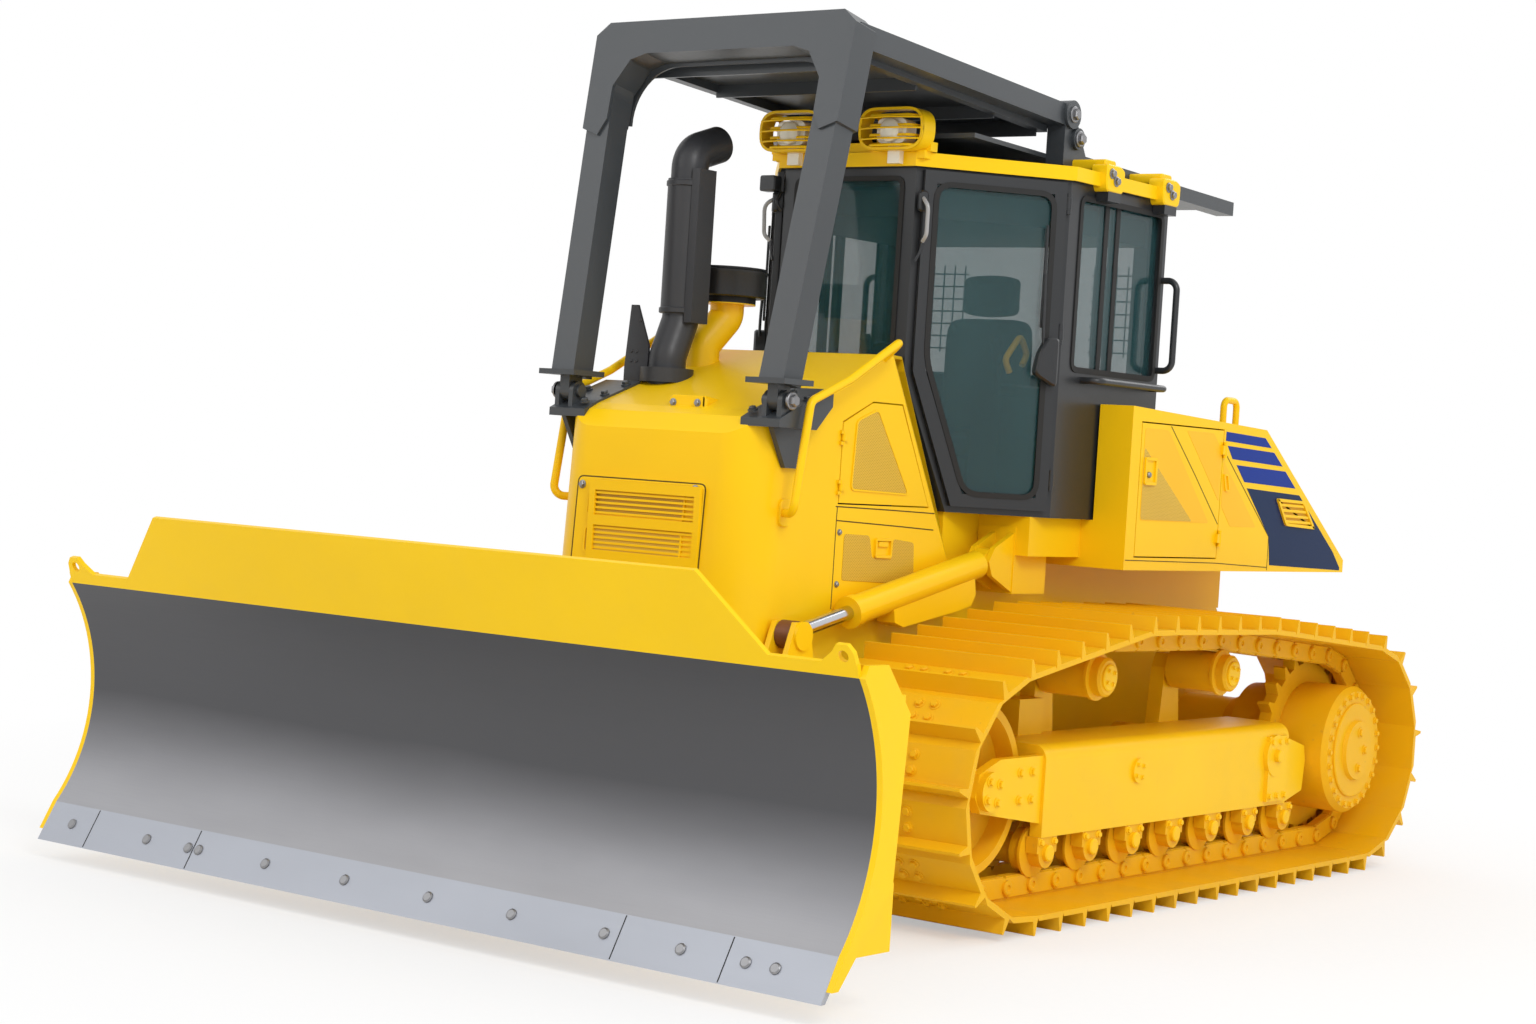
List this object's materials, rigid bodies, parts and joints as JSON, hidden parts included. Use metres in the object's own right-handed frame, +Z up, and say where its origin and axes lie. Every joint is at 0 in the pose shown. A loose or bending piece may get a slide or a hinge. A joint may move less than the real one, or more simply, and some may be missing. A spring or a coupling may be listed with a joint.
{
  "type": "crawler bulldozer",
  "caption": "Wide-track crawler bulldozer with a power-angle-tilt blade, push frame, hexagonal cab, rear body and forestry sweeps.",
  "frame": {"origin": "on the ground plane under the machine's centre line, a little ahead of the middle of the tracks", "axes": "+Z up, -Y forward towards the blade, +X to the machine's left"},
  "size_m": [3.916, 5.777, 3.5465],
  "materials": {
    "body_yellow": "gloss paint",
    "track_yellow": "satin paint, rubbed on the shoes",
    "guard_black": "satin dark paint",
    "blade_steel": "worn bare steel",
    "edge_steel": "ground steel",
    "chrome_rod": "polished",
    "cast_dark": "raw",
    "cab_tint": "tinted",
    "seat_fabric": "woven",
    "dash_plastic": "grained",
    "drum_black": "moulded"
  },
  "bodies": {
    "machine": {"main_frame": "body_yellow", "engine_block": "cast_dark", "hood_shell": "body_yellow", "front_grille": "body_yellow", "exhaust_stack": "guard_black", "air_precleaner": "drum_black", "hood_rails": "body_yellow", "cab_shell": "guard_black", "cab_glass": "cab_tint", "cab_roof": "guard_black", "operator_seat": "seat_fabric", "control_console": "dash_plastic", "rear_body": "body_yellow", "drawbar": "body_yellow", "sweep_frame": "guard_black", "roof_guard": "guard_black", "work_lights": "body_yellow", "track_frames": "track_yellow", "track_left": "track_yellow", "track_right": "track_yellow", "sprockets": "track_yellow", "idlers": "track_yellow", "carrier_rollers": "track_yellow", "track_rollers": "track_yellow", "hood_brackets": "guard_black", "light_guards": "body_yellow", "cab_rails": "guard_black"},
    "push_frame": {"c_frame": "body_yellow"},
    "yoke": {"blade_yoke": "body_yellow"},
    "blade": {"mouldboard": "blade_steel", "cutting_edge": "edge_steel", "blade_back": "body_yellow", "blade_guard": "body_yellow"},
    "tilt_barrel": {"tilt_barrel": "body_yellow"},
    "tilt_rod": {"tilt_rod": "chrome_rod"},
    "lift_barrel_left": {"lift_barrel_left": "body_yellow"},
    "lift_rod_left": {"lift_rod_left": "chrome_rod"},
    "angle_barrel_left": {"angle_barrel_left": "body_yellow"},
    "angle_rod_left": {"angle_rod_left": "chrome_rod"},
    "cab_door_left": {"cab_door_left": "guard_black", "door_glass_left": "cab_tint"},
    "engine_door_left": {"engine_door_left": "body_yellow"},
    "side_door_left": {"side_door_left": "body_yellow"},
    "lift_barrel_right": {"lift_barrel_right": "body_yellow"},
    "lift_rod_right": {"lift_rod_right": "chrome_rod"},
    "angle_barrel_right": {"angle_barrel_right": "body_yellow"},
    "angle_rod_right": {"angle_rod_right": "chrome_rod"},
    "cab_door_right": {"cab_door_right": "guard_black", "door_glass_right": "cab_tint"},
    "engine_door_right": {"engine_door_right": "body_yellow"},
    "side_door_right": {"side_door_right": "body_yellow"}
  },
  "joints": [
    {"name": "blade_lift", "type": "hinge", "parent": "machine", "child": "push_frame", "pos_m": [0, -0.3, 0.45], "axis": [-1, 0, 0], "range_deg": [-12, 17.5]},
    {"name": "blade_angle", "type": "hinge", "parent": "push_frame", "child": "yoke", "pos_m": [0, -2.79, 0.46], "axis": [0, 0, 1], "range_deg": [-25, 25]},
    {"name": "blade_tilt", "type": "hinge", "parent": "yoke", "child": "blade", "pos_m": [0, -2.985, 0.46], "axis": [0, 1, 0], "range_deg": [-8, 8]},
    {"name": "lift_barrel_left_swing", "type": "hinge", "parent": "machine", "child": "lift_barrel_left", "pos_m": [0.6, -0.465, 1.396], "axis": [-1, 0, 0], "range_deg": [-12.09, 17.63]},
    {"name": "lift_rod_left_slide", "type": "slide", "parent": "lift_barrel_left", "child": "lift_rod_left", "axis": [0, -0.9778, -0.2096], "range_m": [-0.29001, 0.19886]},
    {"name": "lift_barrel_right_swing", "type": "hinge", "parent": "machine", "child": "lift_barrel_right", "pos_m": [-0.6, -0.465, 1.396], "axis": [-1, 0, 0], "range_deg": [-12.09, 17.63]},
    {"name": "lift_rod_right_slide", "type": "slide", "parent": "lift_barrel_right", "child": "lift_rod_right", "axis": [0, -0.9778, -0.2096], "range_m": [-0.29001, 0.19886]},
    {"name": "angle_barrel_left_swing", "type": "hinge", "parent": "push_frame", "child": "angle_barrel_left", "pos_m": [0.585, -2.2, 0.69], "axis": [0, 0, 1], "range_deg": [-1.8, 1.8]},
    {"name": "angle_rod_left_slide", "type": "slide", "parent": "angle_barrel_left", "child": "angle_rod_left", "axis": [-0.2737, -0.9618, 0], "range_m": [-0.16396, 0.16396]},
    {"name": "angle_barrel_right_swing", "type": "hinge", "parent": "push_frame", "child": "angle_barrel_right", "pos_m": [-0.585, -2.2, 0.69], "axis": [0, 0, 1], "range_deg": [-1.8, 1.8]},
    {"name": "angle_rod_right_slide", "type": "slide", "parent": "angle_barrel_right", "child": "angle_rod_right", "axis": [0.2737, -0.9618, 0], "range_m": [-0.16396, 0.16396]},
    {"name": "tilt_barrel_swing", "type": "hinge", "parent": "yoke", "child": "tilt_barrel", "pos_m": [-0.3, -2.945, 0.9], "axis": [0, 1, 0], "range_deg": [-4, 4]},
    {"name": "tilt_rod_slide", "type": "slide", "parent": "tilt_barrel", "child": "tilt_rod", "axis": [1, 0, 0], "range_m": [-0.06142, 0.06142]},
    {"name": "cab_door_left_hinge", "type": "hinge", "parent": "machine", "child": "cab_door_left", "pos_m": [0.7897, -0.27964, 0], "axis": [0, 0, 1], "range_deg": [0, 105]},
    {"name": "cab_door_right_hinge", "type": "hinge", "parent": "machine", "child": "cab_door_right", "pos_m": [-0.7897, -0.27964, 0], "axis": [0, 0, -1], "range_deg": [0, 105]},
    {"name": "engine_door_left_hinge", "type": "hinge", "parent": "machine", "child": "engine_door_left", "pos_m": [0.529, -1.466, 0], "axis": [0, 0, -1], "range_deg": [0, 85]},
    {"name": "engine_door_right_hinge", "type": "hinge", "parent": "machine", "child": "engine_door_right", "pos_m": [-0.529, -1.466, 0], "axis": [0, 0, 1], "range_deg": [0, 85]},
    {"name": "side_door_left_hinge", "type": "hinge", "parent": "machine", "child": "side_door_left", "pos_m": [0.97, 0.966, 0], "axis": [0, 0, 1], "range_deg": [0, 95]},
    {"name": "side_door_right_hinge", "type": "hinge", "parent": "machine", "child": "side_door_right", "pos_m": [-0.97, 0.966, 0], "axis": [0, 0, -1], "range_deg": [0, 95]}
  ],
  "couplings": [
    {"joint": "lift_barrel_left_swing", "follows": "blade_lift", "ratio": 1.0069},
    {"joint": "lift_rod_left_slide", "follows": "blade_lift", "m_per_rad": -0.94902},
    {"joint": "lift_barrel_right_swing", "follows": "blade_lift", "ratio": 1.0069},
    {"joint": "lift_rod_right_slide", "follows": "blade_lift", "m_per_rad": -0.94902},
    {"joint": "angle_barrel_left_swing", "follows": "blade_angle", "ratio": -0.071875},
    {"joint": "angle_rod_left_slide", "follows": "blade_angle", "m_per_rad": -0.37558},
    {"joint": "angle_barrel_right_swing", "follows": "blade_angle", "ratio": -0.071875},
    {"joint": "angle_rod_right_slide", "follows": "blade_angle", "m_per_rad": 0.37558},
    {"joint": "tilt_barrel_swing", "follows": "blade_tilt", "ratio": 0.5},
    {"joint": "tilt_rod_slide", "follows": "blade_tilt", "m_per_rad": 0.43964}
  ]
}
